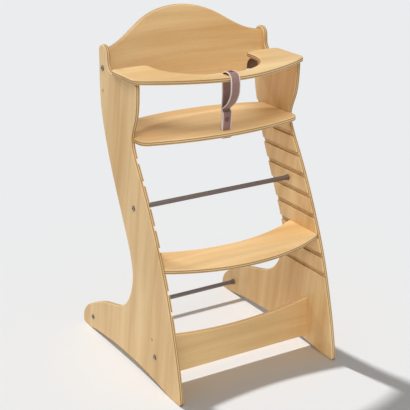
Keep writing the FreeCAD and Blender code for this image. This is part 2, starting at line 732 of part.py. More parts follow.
rods = {"upper": (upper_rod_y, upper_rod_z), "lower": (lower_rod_y, lower_rod_z)}
for name, (y, z) in rods.items():
    export(make_rod(y, z), name + "_tie_rod")
    collar = make_collar(y, z)
    export(collar, name + "_rod_collar_right")
    export(mirrored(collar), name + "_rod_collar_left")
    screw = make_screw(y, z, screw_grip)
    export(screw, name + "_rod_screw_right")
    export(mirrored(screw), name + "_rod_screw_left")

for name, joint in (("backrest", back_joint), ("rail", rail_joint)):
    screw = make_screw(joint["y"], joint["z"], joint["reach"] + barrel_over)
    barrel = make_barrel(joint)
    dowels = make_dowels(joint)
    export(screw, name + "_screw_right")
    export(mirrored(screw), name + "_screw_left")
    export(barrel, name + "_barrel_nut_right")
    export(mirrored(barrel), name + "_barrel_nut_left")
    export(dowels, name + "_dowels_right")
    export(mirrored(dowels), name + "_dowels_left")

bracket = make_bracket()
bracket_screws = make_bracket_screws()
export(bracket, "backrest_bracket_right")
export(mirrored(bracket), "backrest_bracket_left")
export(bracket_screws, "bracket_screws_right")
export(mirrored(bracket_screws), "bracket_screws_left")

export(make_strap_loop(), "strap_loop")
export(make_strap_tail(), "strap_tail")
export(make_strap_bar(), "strap_bar")
tail_snap_z = seat_top_z + tail_snap_up
tail_face = V(strap_at(tail_snap_z), strap_seat_y - strap_thickness / 2, tail_snap_z)
export(make_snap(tail_face, V(0, -1, 0)), "strap_tail_snap")
place, outward = loop_snap_place()
export(make_snap(V(strap_at(place.z), place.y, place.z), outward), "strap_loop_snap")
bar_middle = (tray_front_y + tray_cut_front_y) / 2
bar_face_z = tray_top_z + strap_gap + strap_thickness
export(make_snap(V(strap_at(bar_face_z), bar_middle + bar_snap_back, bar_face_z), V(0, 0, 1)), "strap_bar_snap")
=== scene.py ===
"""Baby high chair in birch plywood: camera, light, floor, the crotch strap and every surface's finish.

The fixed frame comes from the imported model.  Lengths are metres, +Z is up and the chair faces -Y."""
import math
import bpy
import numpy as np
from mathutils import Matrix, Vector


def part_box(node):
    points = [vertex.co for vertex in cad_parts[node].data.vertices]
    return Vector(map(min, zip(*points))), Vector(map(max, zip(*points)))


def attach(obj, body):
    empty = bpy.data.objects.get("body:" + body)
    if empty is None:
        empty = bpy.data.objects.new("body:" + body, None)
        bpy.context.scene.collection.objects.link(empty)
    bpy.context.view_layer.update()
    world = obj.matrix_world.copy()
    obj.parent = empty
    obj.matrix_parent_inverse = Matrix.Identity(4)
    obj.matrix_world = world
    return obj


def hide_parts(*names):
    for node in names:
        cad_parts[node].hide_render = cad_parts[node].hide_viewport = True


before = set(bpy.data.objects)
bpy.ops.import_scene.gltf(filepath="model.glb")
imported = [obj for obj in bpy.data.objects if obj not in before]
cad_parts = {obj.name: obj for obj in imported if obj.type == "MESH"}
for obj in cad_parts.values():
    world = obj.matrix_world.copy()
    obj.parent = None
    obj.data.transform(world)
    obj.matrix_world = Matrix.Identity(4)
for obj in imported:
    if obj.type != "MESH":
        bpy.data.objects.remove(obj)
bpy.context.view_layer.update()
scene = bpy.context.scene

PANEL_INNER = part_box("right_side_panel")[0][0]      # half of the clear width between the panels
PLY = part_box("right_side_panel")[1][0] - PANEL_INNER  # thickness of a panel and of the backrest
PLIES = 5                                           # veneers in that thickness
FACE_PLY = 0.80                                     # share of the outer veneer that looks like the face


# ---------------------------------------------------------------- camera, light and floor
def set_camera():
    """Camera in front of the chair, to the left of it and above, looking slightly down."""
    data = bpy.data.cameras.new("camera")
    data.lens = 97.4
    data.sensor_width = 36.0
    data.clip_end = 100.0
    camera = bpy.data.objects.new("camera", data)
    camera.location = (-1.3287, -2.2529, 1.3478)
    camera.rotation_euler = (math.radians(90 - 20.364), math.radians(0.184), math.radians(-30.616))
    scene.collection.objects.link(camera)
    scene.camera = camera


def add_sun(name, travel, energy, spread, floor, on_floor):
    """Distant light along travel; it lights only the floor, or everything but the floor."""
    data = bpy.data.lights.new(name, "SUN")
    data.energy = energy
    data.angle = math.radians(spread)
    lamp = bpy.data.objects.new(name, data)
    lamp.rotation_euler = Vector(travel).to_track_quat("-Z", "Y").to_euler()
    scene.collection.objects.link(lamp)
    receivers = bpy.data.collections.new(name + "_receivers")
    receivers.objects.link(floor)
    receivers.collection_objects[0].light_linking.link_state = "INCLUDE" if on_floor else "EXCLUDE"
    lamp.light_linking.receiver_collection = receivers


def set_light(floor):
    """Key from behind and slightly left, a soft light from the front left above, an even pale surround."""
    from_behind = (0.243, -1.25, -1.0)
    add_sun("floor_key", from_behind, 3.15, 4.0, floor, True)
    add_sun("chair_key", from_behind, 1.30, 6.0, floor, False)
    add_sun("chair_soft", (0.25, 0.48, -0.84), 2.05, 34.0, floor, False)
    world = bpy.data.worlds.new("surround")
    world.use_nodes = True
    world.node_tree.nodes["Background"].inputs["Color"].default_value = (1.0, 1.0, 1.0, 1.0)
    world.node_tree.nodes["Background"].inputs["Strength"].default_value = 0.34
    scene.world = world
    scene.view_settings.view_transform = "Standard"


def add_floor():
    """Wide pale floor under the chair."""
    size = 30.0
    mesh = bpy.data.meshes.new("floor")
    corners = [(-size, -size, 0), (size, -size, 0), (size, size, 0), (-size, size, 0)]
    mesh.from_pydata(corners, [], [(0, 1, 2, 3)])
    floor = bpy.data.objects.new("floor", mesh)
    scene.collection.objects.link(floor)
    paint = bpy.data.materials.new("studio_floor")
    paint.use_nodes = True
    shader = paint.node_tree.nodes["Principled BSDF"]
    shader.inputs["Base Color"].default_value = (0.865, 0.875, 0.885, 1.0)
    shader.inputs["Roughness"].default_value = 0.9
    shader.inputs["Specular IOR Level"].default_value = 0.0
    mesh.materials.append(paint)
    return floor


# ---------------------------------------------------------------- node helpers
class Sheet:
    """A node tree with short calls for placing and joining its nodes."""

    def __init__(self, tree):
        self.tree = tree
        self.count = 0

    def add(self, kind, settings=None, **inputs):
        """New node; settings are its own properties and inputs are values or sockets by name or index."""
        node = self.tree.nodes.new(kind)
        node.location = (200 * (self.count % 12), -260 * (self.count // 12))
        self.count += 1
        for name, value in (settings or {}).items():
            setattr(node, name, value)
        for name, value in inputs.items():
            key = int(name[1:]) if name[0] == "i" and name[1:].isdigit() else name.replace("_", " ")
            self.put(node.inputs[key], value)
        return node

    def put(self, socket, value):
        """Set the socket to a value, or link another socket to it."""
        if isinstance(value, bpy.types.NodeSocket):
            self.tree.links.new(value, socket)
        else:
            socket.default_value = value

    def math(self, operation, first, second=0.0, third=0.0, clamp=False):
        """Sum, product or other operation on up to three numbers."""
        settings = {"operation": operation, "use_clamp": clamp}
        return self.add("ShaderNodeMath", settings, i0=first, i1=second, i2=third).outputs[0]

    def vector(self, x, y, z):
        """Vector of three numbers."""
        return self.add("ShaderNodeCombineXYZ", None, X=x, Y=y, Z=z).outputs[0]

    def split(self, vector):
        """The three parts of a vector."""
        return self.add("ShaderNodeSeparateXYZ", None, Vector=vector).outputs

    def stretched(self, parts, factors):
        """Vector of the three parts, each times its factor."""
        return self.vector(*[self.math("MULTIPLY", part, factor) for part, factor in zip(parts, factors)])

    def length(self, first, second):
        """Square root of first squared plus second squared."""
        squares = self.math("ADD", self.math("POWER", first, 2.0), self.math("POWER", second, 2.0))
        return self.math("SQRT", squares)

    def wave(self, value, pitch):
        """Sine of value that repeats after every pitch."""
        return self.math("SINE", self.math("MULTIPLY", value, 2 * math.pi / pitch))

    def remap(self, value, low, high):
        """Smooth step that is 0 where value is low and 1 where it is high."""
        node = self.add("ShaderNodeMapRange", {"interpolation_type": "SMOOTHSTEP"})
        for index, number in enumerate((value, low, high)):
            self.put(node.inputs[index], number)
        return node.outputs[0]

    def noise(self, vector, scale, detail, roughness=0.5, distortion=0.0):
        """Cloudy noise between 0 and 1."""
        node = self.add("ShaderNodeTexNoise", None, Vector=vector, Scale=scale, Detail=detail,
                        Roughness=roughness, Distortion=distortion)
        return node.outputs[0]

    def mix(self, factor, first, second):
        """Mix of two colours, all second where the factor is 1."""
        node = self.add("ShaderNodeMix", {"data_type": "RGBA"})
        self.put(node.inputs[0], factor)
        self.put(node.inputs[6], first)
        self.put(node.inputs[7], second)
        return node.outputs[2]

    def group(self, tree, **inputs):
        """Shader group placed with its own inputs; returns its outputs by name."""
        node = self.add("ShaderNodeGroup", {"node_tree": tree})
        for name, value in inputs.items():
            self.put(node.inputs[name.replace("_", " ")], value)
        return node.outputs

    def finish(self, shader, colour, roughness, height, strength, depth):
        """Give the shader its colour, its roughness and a bump of this strength and depth in metres."""
        bump = self.add("ShaderNodeBump", None, Strength=strength, Distance=depth, Height=height)
        self.put(shader.inputs["Base Color"], colour)
        self.put(shader.inputs["Roughness"], roughness)
        self.put(shader.inputs["Normal"], bump.outputs[0])


def new_group(name, inputs, outputs):
    """Empty shader group with named sockets; returns its Sheet, the given values and the results' sockets."""
    tree = bpy.data.node_groups.new(name, "ShaderNodeTree")
    for label, kind in inputs:
        tree.interface.new_socket(label, in_out="INPUT", socket_type="NodeSocket" + kind)
    for label, kind in outputs:
        tree.interface.new_socket(label, in_out="OUTPUT", socket_type="NodeSocket" + kind)
    sheet = Sheet(tree)
    start = sheet.add("NodeGroupInput")
    end = sheet.add("NodeGroupOutput")
    return sheet, start.outputs, end.inputs


def rgb(red, green, blue):
    """Opaque colour in linear light."""
    return (red, green, blue, 1.0)


# ---------------------------------------------------------------- shared effects
def make_veneer_group():
    """Birch veneer with its grain along the first axis of Along: fibres, broad figure, fine pores."""
    sheet, given, out = new_group("birch_veneer", [("Along", "Vector"), ("Figure", "Float")],
                                  [("Tone", "Float"), ("Pores", "Float"), ("Height", "Float")])
    along = sheet.split(given["Along"])
    fibre = sheet.noise(sheet.stretched(along, (9.0, 420.0, 420.0)), 1.0, 3.0, 0.6)
    band = sheet.noise(sheet.stretched(along, (1.3, 26.0, 26.0)), 1.0, 3.0, 0.55, 0.9)
    cloud = sheet.noise(sheet.stretched(along, (2.2, 6.0, 6.0)), 1.0, 2.0, 0.5, 0.4)
    speck = sheet.noise(sheet.stretched(along, (130.0, 2100.0, 2100.0)), 1.0, 1.0, 0.4)
    pore = sheet.remap(speck, 0.66, 0.76)
    tone = sheet.math("MULTIPLY_ADD", sheet.math("SUBTRACT", band, 0.5), given["Figure"], 0.5)
    tone = sheet.math("MULTIPLY_ADD", sheet.math("SUBTRACT", fibre, 0.5), 0.55, tone)
    tone = sheet.math("MULTIPLY_ADD", sheet.math("SUBTRACT", cloud, 0.5), 1.5, tone, clamp=True)
    sheet.put(out["Tone"], tone)
    sheet.put(out["Pores"], pore)
    sheet.put(out["Height"], sheet.math("SUBTRACT", fibre, sheet.math("MULTIPLY", pore, 0.8)))
    return sheet.tree


def make_plies_group():
    """Veneers seen on a cut edge: Depth from one face, in metres, against the board's Thickness."""
    sheet, given, out = new_group(
        "ply_edge", [("Depth", "Float"), ("Thickness", "Float"), ("Place", "Vector")],
        [("Edge", "Float"), ("End grain", "Float"), ("Glue", "Float"), ("Stipple", "Float")])
    wobble = sheet.math("MULTIPLY_ADD", sheet.noise(given["Place"], 14.0, 1.0), 0.00022, -0.00011)
    depth = sheet.math("ADD", given["Depth"], wobble)
    count = sheet.math("MULTIPLY", sheet.math("DIVIDE", depth, given["Thickness"]), float(PLIES))
    count = sheet.math("MINIMUM", sheet.math("MAXIMUM", count, 0.02), PLIES - 0.02)
    index = sheet.math("FLOOR", count)
    part = sheet.math("SUBTRACT", count, index)
    odd = sheet.math("MODULO", index, 2.0)
    middle = sheet.math("ABSOLUTE", sheet.math("SUBTRACT", part, 0.5))
    first = sheet.math("GREATER_THAN", count, FACE_PLY)
    last = sheet.math("LESS_THAN", count, PLIES - FACE_PLY)
    edge = sheet.math("MULTIPLY", first, last)
    stipple = sheet.noise(given["Place"], 1500.0, 2.0, 0.6)
    sheet.put(out["Edge"], edge)
    sheet.put(out["End grain"], sheet.math("MULTIPLY", odd, edge))
    sheet.put(out["Glue"], sheet.math("MULTIPLY", sheet.remap(middle, 0.40, 0.5), edge))
    sheet.put(out["Stipple"], stipple)
    return sheet.tree


def make_handling_group():
    """Soft uneven gloss and faint smudges from handling."""
    sheet, given, out = new_group("handling", [("Place", "Vector"), ("Amount", "Float")],
                                  [("Dulling", "Float"), ("Smudge", "Float")])
    broad = sheet.noise(given["Place"], 7.0, 3.0, 0.6, 0.6)
    fine = sheet.noise(given["Place"], 60.0, 3.0, 0.6)
    dulling = sheet.math("MULTIPLY", sheet.math("MULTIPLY_ADD", fine, 0.4, broad), given["Amount"])
    sheet.put(out["Dulling"], dulling)
    sheet.put(out["Smudge"], sheet.math("MULTIPLY", sheet.remap(broad, 0.52, 0.75), given["Amount"]))
    return sheet.tree


def make_knot_group():
    """Small pin knot in a panel's face: a soft oval eye, longer up the grain, at Centre and of this Size."""
    sheet, given, out = new_group("pin_knot", [("Place", "Vector"), ("Centre", "Vector"), ("Size", "Float")],
                                  [("Eye", "Float")])
    offset = sheet.add("ShaderNodeVectorMath", {"operation": "SUBTRACT"},
                       i0=given["Place"], i1=given["Centre"])
    away = sheet.split(offset.outputs[0])
    distance = sheet.length(away[1], sheet.math("MULTIPLY", away[2], 0.55))
    near = sheet.math("LESS_THAN", sheet.math("ABSOLUTE", away[0]), 0.002)
    eye = sheet.remap(distance, given["Size"], sheet.math("MULTIPLY", given["Size"], 0.4))
    sheet.put(out["Eye"], sheet.math("MULTIPLY", eye, near))
    return sheet.tree


VENEER = make_veneer_group()
PLY_EDGE = make_plies_group()
HANDLING = make_handling_group()
PIN_KNOT = make_knot_group()

PALE_BIRCH = rgb(0.90, 0.65, 0.335)
WARM_BIRCH = rgb(0.66, 0.395, 0.155)
END_GRAIN = rgb(0.22, 0.11, 0.045)
GLUE_LINE = rgb(0.13, 0.06, 0.026)


# ---------------------------------------------------------------- materials
def start_material(name):
    """Material with a Principled shader; returns the material, a Sheet and the shader node."""
    material = bpy.data.materials.new(name)
    material.use_nodes = True
    shader = material.node_tree.nodes["Principled BSDF"]
    return material, Sheet(material.node_tree), shader


def finish_wood(sheet, shader, place, along, depth, thickness, figure, knots=()):
    """Lacquered birch plywood: veneer on the faces, alternating plies on every cut edge."""
    veneer = sheet.group(VENEER, Along=along, Figure=figure)
    edge = sheet.group(PLY_EDGE, Depth=depth, Thickness=thickness, Place=place)
    touch = sheet.group(HANDLING, Place=place, Amount=0.5)
    colour = sheet.mix(veneer["Tone"], WARM_BIRCH, PALE_BIRCH)
    colour = sheet.mix(sheet.math("MULTIPLY", veneer["Pores"], 0.30), colour, END_GRAIN)
    for centre, size in knots:
        knot = sheet.group(PIN_KNOT, Place=place, Centre=centre, Size=size)
        colour = sheet.mix(sheet.math("MULTIPLY", knot["Eye"], 0.85), colour, GLUE_LINE)
    end_tone = sheet.math("MULTIPLY_ADD", edge["Stipple"], 0.5, 0.48)
    colour = sheet.mix(sheet.math("MULTIPLY", edge["End grain"], end_tone), colour, END_GRAIN)
    colour = sheet.mix(sheet.math("MULTIPLY", edge["Glue"], 0.60), colour, GLUE_LINE)
    colour = sheet.mix(sheet.math("MULTIPLY", touch["Smudge"], 0.10), colour, WARM_BIRCH)
    roughness = sheet.math("MULTIPLY_ADD", touch["Dulling"], 0.22, 0.36)
    roughness = sheet.math("MULTIPLY_ADD", edge["Edge"], 0.12, roughness)
    height = sheet.math("SUBTRACT", veneer["Height"], sheet.math("MULTIPLY", edge["Glue"], 0.7))
    sheet.finish(shader, colour, roughness, height, 0.25, 0.00012)
    shader.inputs["Specular IOR Level"].default_value = 0.28
    shader.inputs["Coat Weight"].default_value = 0.05
    shader.inputs["Coat Roughness"].default_value = 0.25


def object_place(sheet):
    """Place on the chair, in metres."""
    return sheet.add("ShaderNodeTexCoord").outputs["Object"]


def make_panel_wood(name, seed, knots=()):
    """Side panel: grain runs up the panel, plies are counted from its inner face."""
    material, sheet, shader = start_material(name)
    place = object_place(sheet)
    x, y, z = sheet.split(place)
    leaning = sheet.math("MULTIPLY_ADD", z, 0.16, y)
    along = sheet.vector(sheet.math("ADD", z, seed), leaning, x)
    depth = sheet.math("SUBTRACT", sheet.math("ABSOLUTE", x), PANEL_INNER)
    finish_wood(sheet, shader, place, along, depth, PLY, 1.5, knots)
    return material


def make_board_wood(name, node, seed, axis=2):
    """Board or rail: grain runs across the chair, plies are counted along the thin axis."""
    material, sheet, shader = start_material(name)
    place = object_place(sheet)
    x, y, z = sheet.split(place)
    across = (y, z) if axis == 2 else (z, y)
    along = sheet.vector(sheet.math("ADD", x, seed), across[0], across[1])
    low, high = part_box(node)
    depth = sheet.math("SUBTRACT", z if axis == 2 else y, low[axis])
    finish_wood(sheet, shader, place, along, depth, high[axis] - low[axis], 1.2)
    return material


def make_backrest_wood():
    """Moulded backrest: plies are counted outwards from the axis that it is curved about."""
    material, sheet, shader = start_material("moulded_birch")
    place = object_place(sheet)
    x, y, z = sheet.split(place)
    low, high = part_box("backrest")
    half = high[0]
    rise = high[1] - low[1] - PLY
    outer = (half ** 2 + rise ** 2) / (2 * rise)    # radius of an arc with this half chord and rise
    centre = high[1] - outer
    from_axis = sheet.math("SUBTRACT", y, centre)
    radius = sheet.length(x, from_axis)
    depth = sheet.math("SUBTRACT", radius, outer - PLY)
    round_it = sheet.math("MULTIPLY", sheet.math("ARCTAN2", x, from_axis), outer)
    along = sheet.vector(sheet.math("ADD", round_it, 3.1), z, radius)
    finish_wood(sheet, shader, place, along, depth, PLY, 1.2)
    return material


def make_beech():
    """Turned beech dowel: straight grain with fine open pores."""
    material, sheet, shader = start_material("turned_beech")
    place = object_place(sheet)
    veneer = sheet.group(VENEER, Along=place, Figure=0.6)
    colour = sheet.mix(veneer["Tone"], rgb(0.45, 0.27, 0.14), rgb(0.62, 0.42, 0.25))
    rough = sheet.math("MULTIPLY_ADD", veneer["Pores"], 0.2, 0.6)
    sheet.finish(shader, colour, rough, veneer["Height"], 0.3, 0.0001)
    return material


def make_steel(name, tint, roughness, streak):
    """Plated steel with fine drawn marks along X and an uneven gloss."""
    material, sheet, shader = start_material(name)
    place = object_place(sheet)
    marks = sheet.noise(sheet.stretched(sheet.split(place), (streak, 900.0, 900.0)), 1.0, 2.0, 0.6)
    touch = sheet.group(HANDLING, Place=place, Amount=1.0)
    dark = rgb(tint[0] * 0.72, tint[1] * 0.72, tint[2] * 0.73)
    colour = sheet.mix(marks, dark, rgb(*tint))
    rough = sheet.math("MULTIPLY_ADD", touch["Dulling"], 0.12, roughness)
    rough = sheet.math("MULTIPLY_ADD", marks, 0.08, rough)
    sheet.finish(shader, colour, rough, marks, 0.2, 0.00005)
    shader.inputs["Metallic"].default_value = 1.0
    return material


def make_webbing():
    """Woven strap: ribs across, fine warp lines along, stitches inside the cream piping of both edges."""
    material, sheet, shader = start_material("strap_webbing")
    weave = sheet.add("ShaderNodeAttribute", {"attribute_name": "weave"}).outputs["Vector"]
    across, along, layer = sheet.split(weave)
    rib = sheet.wave(along, 0.0016)
    warp = sheet.wave(across, 0.0011)
    cloth = sheet.math("MULTIPLY_ADD", sheet.math("MULTIPLY", rib, warp), 0.25, 0.5)
    fuzz = sheet.noise(sheet.stretched((across, along, layer), (900.0, 260.0, 1.0)), 1.0, 3.0, 0.6)
    broad = sheet.noise(weave, 70.0, 2.0, 0.5)
    shade = sheet.math("MULTIPLY_ADD", fuzz, 0.5, sheet.math("MULTIPLY", cloth, 0.5))
    shade = sheet.math("MULTIPLY_ADD", sheet.math("SUBTRACT", broad, 0.5), 0.5, shade, clamp=True)
    from_middle = sheet.math("ABSOLUTE", across)
    piping = sheet.remap(from_middle, PIPING_FROM - 0.00025, PIPING_FROM + 0.00015)
    roll = sheet.math("SINE", sheet.math("MULTIPLY_ADD", along, 2 * math.pi / 0.0019,
                                         sheet.math("MULTIPLY", across, 1600.0)))
    from_row = sheet.math("ABSOLUTE", sheet.math("SUBTRACT", from_middle, PIPING_FROM - 0.0012))
    row = sheet.remap(from_row, 0.00045, 0.00025)
    stitch = sheet.math("MULTIPLY", row, sheet.remap(sheet.wave(along, 0.0034), -0.35, -0.05))
    colour = sheet.mix(shade, rgb(0.235, 0.130, 0.112), rgb(0.420, 0.260, 0.230))
    colour = sheet.mix(sheet.math("MULTIPLY", stitch, 0.8), colour, rgb(0.52, 0.36, 0.33))
    cream = sheet.mix(fuzz, rgb(0.74, 0.64, 0.60), rgb(0.92, 0.86, 0.82))
    colour = sheet.mix(piping, colour, cream)
    height = sheet.math("MULTIPLY_ADD", stitch, 0.6, cloth)
    height = sheet.math("MULTIPLY_ADD", sheet.math("MULTIPLY", roll, piping), 0.4, height)
    sheet.finish(shader, colour, sheet.math("MULTIPLY_ADD", fuzz, 0.2, 0.72), height, 0.5, 0.00018)
    shader.inputs["Specular IOR Level"].default_value = 0.2
    shader.inputs["Sheen Weight"].default_value = 0.15
    return material


def make_stud_plastic():
    """Moulded plum plastic, lightly scuffed all over, with painted shade darkening the cap's ring groove and
    a painted highlight paling its crown.
    """
    material, sheet, shader = start_material("stud_plastic")
    turned = sheet.add("ShaderNodeAttribute", {"attribute_name": "turned"}).outputs["Vector"]
    radius = sheet.split(turned)[0]
    place = object_place(sheet)
    scuff = sheet.remap(sheet.noise(place, 900.0, 3.0, 0.65, 0.5), 0.48, 0.72)
    touch = sheet.group(HANDLING, Place=place, Amount=0.8)
    # Painted shade: darker in the ring groove that the cap's shape already has.
    groove = sheet.remap(sheet.math("ABSOLUTE", sheet.math("SUBTRACT", radius, 0.0021)), 0.0007, 0.0003)
    # Painted highlight: a paler disc on the dome's top.
    crown = sheet.remap(radius, 0.0044, 0.0034)
    colour = sheet.mix(scuff, rgb(0.150, 0.022, 0.034), rgb(0.300, 0.075, 0.092))
    colour = sheet.mix(sheet.math("MULTIPLY", crown, 0.30), colour, rgb(0.52, 0.26, 0.28))
    colour = sheet.mix(sheet.math("MULTIPLY", groove, 0.80), colour, rgb(0.045, 0.008, 0.012))
    rough = sheet.math("MULTIPLY_ADD", scuff, 0.16, 0.26)
    rough = sheet.math("MULTIPLY_ADD", touch["Dulling"], 0.1, rough)
    sheet.finish(shader, colour, rough, scuff, 0.15, 0.00008)
    return material


def make_bracket_paint_and_shade():
    """Brown stove enamelling on the angle brackets, with a fine orange-peel and worn lighter patches; its
    near-black browns are also painted shade for the deep nook behind each backrest ear.
    """
    material, sheet, shader = start_material("brown_enamel_and_shade")
    place = object_place(sheet)
    peel = sheet.noise(place, 700.0, 2.0, 0.5)
    touch = sheet.group(HANDLING, Place=place, Amount=1.0)
    # Painted shade: these near-black browns also stand for the deep shade of the nook behind each backrest
    # ear.
    colour = sheet.mix(peel, rgb(0.105, 0.052, 0.024), rgb(0.150, 0.078, 0.038))
    colour = sheet.mix(sheet.math("MULTIPLY", touch["Smudge"], 0.35), colour, rgb(0.24, 0.15, 0.09))
    rough = sheet.math("MULTIPLY_ADD", touch["Dulling"], 0.2, 0.40)
    sheet.finish(shader, colour, rough, peel, 0.25, 0.0001)
    return material


def make_screw_zinc(centres):
    """Zinc-plated screw with painted shade: a near-black disc for the shade in its socket and a dark ring for
    the shade round the head's edge; centres are the heads' axes in Y and Z.
    """
    material, sheet, shader = start_material("screw_zinc")
    place = object_place(sheet)
    parts = sheet.split(place)
    radius = None
    for centre_y, centre_z in centres:
        distance = sheet.length(sheet.math("SUBTRACT", parts[1], centre_y),
                                sheet.math("SUBTRACT", parts[2], centre_z))
        radius = distance if radius is None else sheet.math("MINIMUM", radius, distance)
    # Painted shade: a near-black, less metallic disc where the socket's recess lies in shade.
    socket = sheet.remap(radius, 0.0032, 0.0026)
    marks = sheet.noise(sheet.vector(sheet.math("MULTIPLY", radius, 5200.0), 0.0, 0.0), 1.0, 2.0, 0.6)
    touch = sheet.group(HANDLING, Place=place, Amount=1.0)
    colour = sheet.mix(marks, rgb(0.34, 0.32, 0.30), rgb(0.58, 0.55, 0.51))
    colour = sheet.mix(socket, colour, rgb(0.020, 0.018, 0.016))
    # Painted shade: a dark ring round the head's edge, where the head sits in shade in its hole.
    rim_shade = sheet.remap(radius, 0.0050, 0.0062)
    colour = sheet.mix(sheet.math("MULTIPLY", rim_shade, 0.85), colour, rgb(0.075, 0.060, 0.050))
    rough = sheet.math("MULTIPLY_ADD", touch["Dulling"], 0.12, 0.24)
    rough = sheet.math("MULTIPLY_ADD", marks, 0.08, rough)
    sheet.finish(shader, colour, rough, marks, 0.2, 0.00004)
    sheet.put(shader.inputs["Metallic"], sheet.math("SUBTRACT", 1.0, sheet.math("MULTIPLY", socket, 0.6)))
    return material


def give(material, node):
    """Put one material on a CAD node."""
    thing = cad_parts[node]
    if not thing.material_slots:
        thing.data.materials.append(material)
    for slot in thing.material_slots:
        slot.material = material


# ---------------------------------------------------------------- strap and studs
LOOP_LOW, LOOP_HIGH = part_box("strap_loop")
TAIL_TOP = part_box("strap_tail")[1][2]
TRAY_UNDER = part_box("safety_tray")[0][2]
BAR_LOW, BAR_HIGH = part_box("strap_bar")             # the bar under the seat
SEAT_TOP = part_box("seat_board")[1][2]
STUD_LOW, STUD_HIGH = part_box("strap_bar_snap")      # the press stud on top of the tray's front bar
TAIL_STUD_LOW, TAIL_STUD_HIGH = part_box("strap_tail_snap")
SLOT_X = (BAR_LOW[0] + BAR_HIGH[0]) / 2             # middle of the strap under the seat
TAIL_Y = (BAR_LOW[1] + BAR_HIGH[1]) / 2             # middle of the upright tail
JOIN = SEAT_TOP + 0.050                             # height of the sewn join
STRAP_HALF = 0.0125                                 # half of the strap's width
WEBBING = 0.0018                                    # thickness of the webbing
FACE = WEBBING / 2 * 0.86                           # from the webbing's middle to its flat face
PIPING = 0.00125                                    # radius of the rolled edge
PIPING_FROM = STRAP_HALF - 1.75 * PIPING            # where the piping starts, from the strap's middle
CLEAR = 0.0004                                      # between the strap and the bar that it goes round
SPOKES = 48                                         # points round a press stud
CLIMBED = 0.58                                      # share of the climb to the tray at the loop's lower stud


def mesh_piece(name, points, faces, body, node):
    """Mesh object from points and faces that stands for a CAD node and rides on a body."""
    mesh = bpy.data.meshes.new(name)
    mesh.from_pydata(points.tolist(), [], faces)
    mesh.update()
    mesh.shade_smooth()
    piece = bpy.data.objects.new(name, mesh)
    scene.collection.objects.link(piece)
    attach(piece, body)
    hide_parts(node)
    return piece


def keep_vectors(piece, name, values):
    """Store one vector for each point of the mesh under this name."""
    attribute = piece.data.attributes.new(name, "FLOAT_VECTOR", "POINT")
    attribute.data.foreach_set("vector", values.astype(np.float32).ravel())


def faces_of_grid(rows, columns, first=0):
    """Quads of a grid of rows by columns whose columns close into a ring."""
    row, column = np.meshgrid(np.arange(rows - 1), np.arange(columns), indexing="ij")
    here = first + row * columns + column
    beside = first + row * columns + (column + 1) % columns
    return np.stack([here, beside, beside + columns, here + columns], axis=-1).reshape(-1, 4)


def smooth_path(knots, steps):
    """Catmull-Rom curve: cubics from knot to knot; the slope at each is half the chord of its neighbours."""
    knots = np.asarray(knots, float)
    padded = np.vstack([2 * knots[0] - knots[1], knots, 2 * knots[-1] - knots[-2]])
    before, start = padded[:-3, None], padded[1:-2, None]
    end, after = padded[2:-1, None], padded[3:, None]
    t = np.linspace(0.0, 1.0, steps, endpoint=False)[None, :, None]
    curve = 0.5 * (2 * start + (end - before) * t + (2 * before - 5 * start + 4 * end - after) * t ** 2
                   + (3 * start - 3 * end + after - before) * t ** 3)
    return np.vstack([curve.reshape(-1, 2), knots[-1]])


def circle_part(centre, radius, first, last, steps):
    """Circular arc in YZ: centre plus radius times (cos a, sin a), with a from first to last, in degrees."""
    a = np.radians(np.linspace(first, last, steps))
    return np.stack([centre[0] + radius * np.cos(a), centre[1] + radius * np.sin(a)], axis=1)


def strap_middle(z):
    """Middle of the strap across the chair: nearly upright as far as the sewn join, then leaning over to the
    press stud on the tray.  The lean is 0.65 of a straight line plus 0.35 of a smooth cubic step."""
    share = np.clip((z - JOIN + 0.012) / (STUD_LOW[2] - JOIN), 0.0, 1.0)
    share = share * share * (3 - 2 * share) * 0.35 + share * 0.65
    lower = SLOT_X + 0.0030 * np.clip((z - SEAT_TOP) / (JOIN - SEAT_TOP), 0.0, 1.0)
    return lower + ((STUD_LOW[0] + STUD_HIGH[0]) / 2 - lower) * share


def webbing_section():
    """Closed outline across the strap: two flat faces, each FACE off the middle, and a roll of piping at each
    edge, which is a circle of the piping's radius less the arc inside the webbing."""
    roll_x = STRAP_HALF - PIPING
    reach = math.asin(FACE / PIPING)
    flat = np.linspace(-1.0, 1.0, 13) * (roll_x - PIPING * math.cos(reach) - 0.0001)
    bend = np.linspace(math.pi - reach, reach - math.pi, 13)
    right = np.stack([roll_x + PIPING * np.cos(bend), PIPING * np.sin(bend)], axis=1)
    top = np.stack([flat, np.full_like(flat, FACE)], axis=1)
    return np.vstack([top, right, -top, -right])


def make_strap(name, path, body, node, offset):
    """Strap swept along a path in YZ: point = path + (middle + across) * X + lift * normal, where the normal
    is the path's direction turned a quarter turn and the middle leans with height; both ends are closed.
    The weave starts at offset, so that the two lengths differ.  Returns the piece and the normals."""
    section = webbing_section()
    step = np.gradient(path, axis=0)
    step /= np.linalg.norm(step, axis=1)[:, None]
    normal = np.stack([-step[:, 1], step[:, 0]], axis=1)
    run = np.concatenate([[0.0], np.cumsum(np.linalg.norm(np.diff(path, axis=0), axis=1))])
    across = np.broadcast_to(section[:, 0], (len(path), len(section)))
    lift = section[:, 1]
    points = np.empty((len(path), len(section), 3))
    points[..., 0] = strap_middle(path[:, 1])[:, None] + across
    points[..., 1] = path[:, None, 0] + normal[:, None, 0] * lift
    points[..., 2] = path[:, None, 1] + normal[:, None, 1] * lift
    quads = faces_of_grid(len(path), len(section))
    last = (len(path) - 1) * len(section)
    caps = [list(range(len(section)))[::-1], list(range(last, last + len(section)))]
    piece = mesh_piece(name, points.reshape(-1, 3), quads.tolist() + caps, body, node)
    weave = np.stack([across, np.broadcast_to(run[:, None] + offset, across.shape),
                      np.broadcast_to(lift, across.shape)], axis=-1)
    keep_vectors(piece, "weave", weave.reshape(-1, 3))
    return piece, normal


